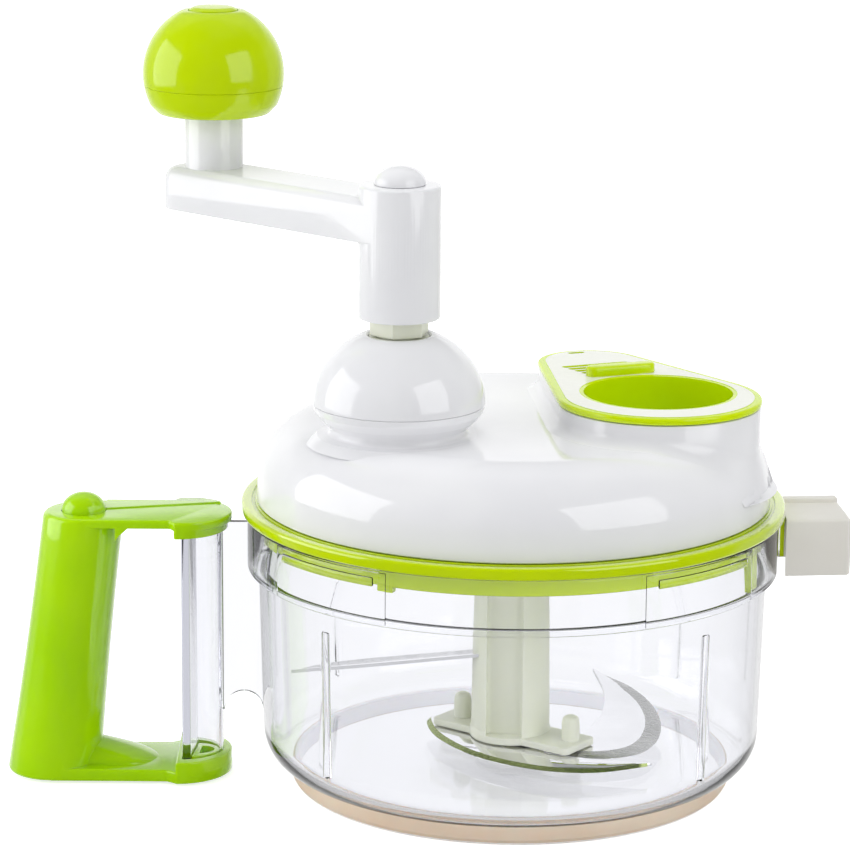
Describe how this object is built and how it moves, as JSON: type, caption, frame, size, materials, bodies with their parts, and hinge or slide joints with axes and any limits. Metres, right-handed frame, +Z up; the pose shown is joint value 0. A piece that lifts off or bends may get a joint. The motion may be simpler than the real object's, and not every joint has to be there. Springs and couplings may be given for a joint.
{
  "type": "crank food chopper",
  "caption": "Hand-cranked food chopper with a clear bowl, side grip, sickle blades, geared domed lid, locking ring, feed chute insert and ball knob.",
  "frame": {"origin": "on the surface that the base ring stands on, under the middle of the object's outline seen from above", "axes": "+Z up, parallel to the axis of the bowl; the side handle points to -X; the crank is on the -Y side"},
  "size_m": [0.2822, 0.1804, 0.2551],
  "materials": {
    "clear_plastic": "clear, polished, faint violet-blue cast at the edges",
    "lime_plastic": "glossy lime green, moulded",
    "pale_lime_plastic": "glossy, very pale lime plate over a lime rim and cup",
    "white_plastic": "glossy white, moulded",
    "ivory_plastic": "satin ivory to pale grey, moulded",
    "soft_silicone": "soft, translucent pinkish beige",
    "blade_steel": "polished sheet with a ground cutting bevel",
    "fastener_steel": "bright zinc"
  },
  "bodies": {
    "base": {"base_ring": "soft_silicone", "bowl": "clear_plastic", "pivot_pin": "fastener_steel", "handle": "lime_plastic", "button_spring": "fastener_steel"},
    "button": {"handle_button": "lime_plastic"},
    "blades": {"blade_shaft": "ivory_plastic", "blade_retainer": "ivory_plastic", "front_blade": "blade_steel", "rear_blade": "blade_steel", "upper_blade": "blade_steel"},
    "lid": {"lid_shell": "white_plastic", "gear_cover": "white_plastic", "gear_plate": "white_plastic", "plate_screw_1": "fastener_steel", "plate_screw_2": "fastener_steel", "plate_screw_3": "fastener_steel", "plate_screw_4": "fastener_steel", "crank_bushing": "ivory_plastic"},
    "ring": {"lock_ring": "lime_plastic", "thumb_grip": "ivory_plastic"},
    "crank": {"crank_shaft": "ivory_plastic", "crank_gear": "ivory_plastic", "crank_gear_screw": "fastener_steel", "crank_arm": "white_plastic", "crank_screw": "fastener_steel", "crank_cap": "white_plastic", "knob_screw": "fastener_steel"},
    "knob": {"knob_lower": "lime_plastic", "knob_upper": "lime_plastic", "knob_cap": "lime_plastic"},
    "pinion": {"pinion": "ivory_plastic"},
    "insert": {"chute_insert": "pale_lime_plastic"}
  },
  "joints": [
    {"name": "button_press", "type": "slide", "parent": "base", "child": "button", "axis": [0, 0, -1], "range_m": [0, 0.003], "stiffness_N_per_m": 400, "springref_m": -0.002, "deforming": ["button_spring"]},
    {"name": "blade_spin", "type": "hinge", "parent": "base", "child": "blades", "pos_m": [0.02809, 0, 0.02], "axis": [0, 0, 1], "continuous": true},
    {"name": "lid_lift", "type": "slide", "parent": "base", "child": "lid", "axis": [0, 0, 1], "range_m": [0, 0.08]},
    {"name": "lock_ring_turn", "type": "hinge", "parent": "lid", "child": "ring", "pos_m": [0.02809, 0, 0.094], "axis": [0, 0, 1], "range_deg": [-20, 0]},
    {"name": "crank_spin", "type": "hinge", "parent": "lid", "child": "crank", "pos_m": [-0.00987, -0.02599, 0.13], "axis": [0, 0, 1], "continuous": true},
    {"name": "knob_spin", "type": "hinge", "parent": "crank", "child": "knob", "pos_m": [-0.07229, 0.03022, 0.232], "axis": [0, 0, 1], "continuous": true},
    {"name": "pinion_spin", "type": "hinge", "parent": "lid", "child": "pinion", "pos_m": [0.02809, 0, 0.1], "axis": [0, 0, 1], "continuous": true},
    {"name": "insert_lift", "type": "slide", "parent": "lid", "child": "insert", "axis": [0, 0, 1], "range_m": [0, 0.03]}
  ],
  "couplings": [
    {"joint": "pinion_spin", "follows": "crank_spin", "ratio": -2.5},
    {"joint": "blade_spin", "follows": "crank_spin", "ratio": -2.5}
  ]
}
